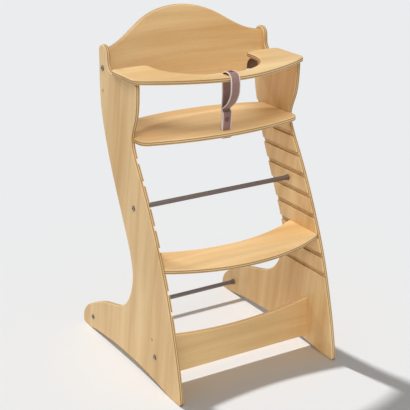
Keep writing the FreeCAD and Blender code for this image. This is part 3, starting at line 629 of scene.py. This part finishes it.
def loop_path():
    """Middle line of the loop: up from the seat, over the tray's front bar, and back down behind it.  Returns
    it with the height just under the tray and the height of the join."""
    half = WEBBING / 2
    middle_y = TAIL_Y + 1.5 * WEBBING + CLEAR
    low = LOOP_LOW[2] + 0.0002
    join = JOIN + 0.001 - WEBBING
    front = LOOP_LOW[1] + half
    bar_middle = (STUD_LOW[1] + STUD_HIGH[1]) / 2 - 0.009
    back = 2 * bar_middle - front
    top = LOOP_HIGH[2] - half
    under = TRAY_UNDER - 0.006
    front_y, rear_y = middle_y - half, middle_y + half
    knots = [(front_y, low), (front_y, low + 0.022), (front_y, join - 0.004),
             (front_y - 0.0006, join + 0.004),
             (front + 0.56 * (front_y - front), under - 0.70 * (under - join)),
             (front + 0.17 * (front_y - front), under - 0.34 * (under - join)), (front, under),
             (front, top - 0.007), (front + 0.0030, top - 0.0005), (front + 0.010, top + 0.0038),
             (bar_middle, top + 0.0055), (back - 0.009, top + 0.0036), (back - 0.0022, top - 0.0010),
             (back, top - 0.008), (back, under),
             (back + 0.35 * (rear_y - back), under - 0.4 * (under - join)),
             (rear_y + 0.0006, join + 0.004), (rear_y, join - 0.004), (rear_y, low + 0.022), (rear_y, low)]
    return smooth_path(knots, 10), under, join


def tail_path():
    """Middle line of the tail: most of the way round the bar under the seat, then up through the slot."""
    radius = (BAR_HIGH[2] - BAR_LOW[2]) / 2 + CLEAR + WEBBING / 2
    centre = (TAIL_Y, (BAR_LOW[2] + BAR_HIGH[2]) / 2)
    round_bar = circle_part(centre, radius, 70.0, -215.0, 40)
    knots = [tuple(round_bar[-1]), (TAIL_Y - 0.0006, centre[1] + radius + 0.0006), (TAIL_Y, SEAT_TOP),
             (TAIL_Y, SEAT_TOP + 0.024), (TAIL_Y, TAIL_TOP - 0.0002)]
    return np.vstack([round_bar[:-1], smooth_path(knots, 10)])


def make_stud(name, foot, axis, node, body):
    """Press stud turned about an axis: point = foot + height * axis + radius * (cos a * U + sin a * W), with
    the radii and heights of a domed cap that has a ring groove and a dimple in its middle."""
    radii = np.array([0.9, 1.5, 1.9, 2.2, 2.6, 3.2, 4.0, 4.7, 5.15, 5.4, 5.4]) * 0.001
    heights = np.array([1.25, 1.35, 1.05, 0.98, 1.30, 1.42, 1.36, 1.10, 0.72, 0.25, -0.2]) * 0.001
    axis = np.asarray(axis, float)
    u = np.array([1.0, 0.0, 0.0])
    w = np.cross(axis, u)
    a = np.linspace(0.0, 2 * math.pi, SPOKES, endpoint=False)
    spoke = np.cos(a)[:, None] * u + np.sin(a)[:, None] * w
    rings = foot + heights[:, None, None] * axis + radii[:, None, None] * spoke[None]
    poles = np.array([foot + 0.0011 * axis, foot - 0.0002 * axis])
    points = np.vstack([poles, rings.reshape(-1, 3)])
    quads = faces_of_grid(len(radii), SPOKES, 2)[:, ::-1]
    turn = np.arange(SPOKES)
    crown = np.stack([np.zeros(SPOKES, int), 2 + turn, 2 + (turn + 1) % SPOKES], axis=1)
    last = 2 + (len(radii) - 1) * SPOKES
    base = np.stack([np.ones(SPOKES, int), last + (turn + 1) % SPOKES, last + turn], axis=1)
    faces = quads.tolist() + crown.tolist() + base.tolist()
    piece = mesh_piece(name, points, faces, body, node)
    turned = np.zeros((len(points), 3))
    turned[2:, 0] = np.repeat(radii, SPOKES)
    turned[2:, 1] = np.repeat(heights, SPOKES)
    turned[2:, 2] = np.tile(a, len(radii))
    keep_vectors(piece, "turned", turned)
    return piece


def outward_faces(piece):
    """Turn the faces of a closed piece the right way when its signed volume is negative."""
    mesh = piece.data
    mesh.calc_loop_triangles()
    corners = np.empty(len(mesh.loop_triangles) * 3, int)
    mesh.loop_triangles.foreach_get("vertices", corners)
    places = np.empty(len(mesh.vertices) * 3)
    mesh.vertices.foreach_get("co", places)
    tri = places.reshape(-1, 3)[corners.reshape(-1, 3)]
    if np.einsum("ij,ij->i", tri[:, 0], np.cross(tri[:, 1], tri[:, 2])).sum() < 0:
        mesh.flip_normals()


def add_strap_and_studs():
    """The two lengths of webbing between the seat and the tray, and their three press studs."""
    webbing = make_webbing()
    plum = make_stud_plastic()
    path, under, join = loop_path()
    loop, normal = make_strap("strap_loop_webbing", path, "tray", "strap_loop", 0.0)
    tail = make_strap("strap_tail_webbing", tail_path(), "seat", "strap_tail", 0.4)[0]
    climbing = np.flatnonzero((path[:, 1] > join) & (path[:, 0] < TAIL_Y) & (path[:, 1] < under))
    places = [climbing[0] + int(CLIMBED * (len(climbing) - 1)), int(np.argmax(path[:, 1]))]
    spots = []
    for index in places:
        out = np.array([0.0, *normal[index]])
        inwards = out[2] < 0 or (out[1] > 0 and out[2] < 0.5)
        out *= -1.0 if inwards else 1.0
        middle = np.array([strap_middle(path[index, 1]), *path[index]])
        spots.append((middle + out * FACE, out))
    tail_z = (TAIL_STUD_LOW[2] + TAIL_STUD_HIGH[2]) / 2
    on_tail = np.array([strap_middle(tail_z), TAIL_Y - FACE, tail_z])
    studs = [make_stud("loop_stud", *spots[0], "strap_loop_snap", "tray"),
             make_stud("bar_stud", *spots[1], "strap_bar_snap", "tray"),
             make_stud("tail_stud", on_tail, (0.0, -1.0, 0.0), "strap_tail_snap", "seat")]
    for piece in (loop, tail):
        piece.data.materials.append(webbing)
        outward_faces(piece)
    for piece in studs:
        piece.data.materials.append(plum)
        outward_faces(piece)


set_camera()
set_light(add_floor())

left_face = -PANEL_INNER - PLY
knot_size = 0.0035
left_knots = [((left_face, 0.0915, 0.683), knot_size), ((left_face, -0.1335, 0.118), knot_size)]
give(make_panel_wood("left_panel_birch", 1.7, left_knots), "left_side_panel")
give(make_panel_wood("right_panel_birch", 4.3), "right_side_panel")
for seed, node in enumerate(("safety_tray", "seat_board", "foot_board")):
    give(make_board_wood(node + "_birch", node, 0.8 + 1.9 * seed), node)
give(make_board_wood("front_rail_birch", "front_rail", 7.7, axis=1), "front_rail")
give(make_backrest_wood(), "backrest")
zinc = make_steel("zinc_plate", (0.70, 0.69, 0.68), 0.28, 300.0)
rod_steel = make_steel("rod_steel", (0.30, 0.265, 0.27), 0.38, 40.0)
axes = []                                           # of the left heads; the right ones lie on the same lines
for node in ("upper_rod_screw_left", "lower_rod_screw_left", "backrest_screw_left", "rail_screw_left"):
    low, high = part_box(node)
    axes.append(((low[1] + high[1]) / 2, (low[2] + high[2]) / 2))
screw_zinc = make_screw_zinc(axes)
# Bracket enamel, whose near-black browns are also painted shade for the nook behind the backrest's ears.
enamel_and_shade = make_bracket_paint_and_shade()
beech = make_beech()
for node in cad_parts:
    if "tie_rod" in node or "collar" in node:
        give(rod_steel, node)
    elif "dowels" in node:
        give(beech, node)
    elif node.startswith("backrest_bracket"):
        give(enamel_and_shade, node)
    elif "_screw_" in node:
        give(screw_zinc, node)
    elif node.startswith("bracket_screws") or "barrel" in node or node in ("tray_pins", "strap_bar"):
        give(zinc, node)
add_strap_and_studs()
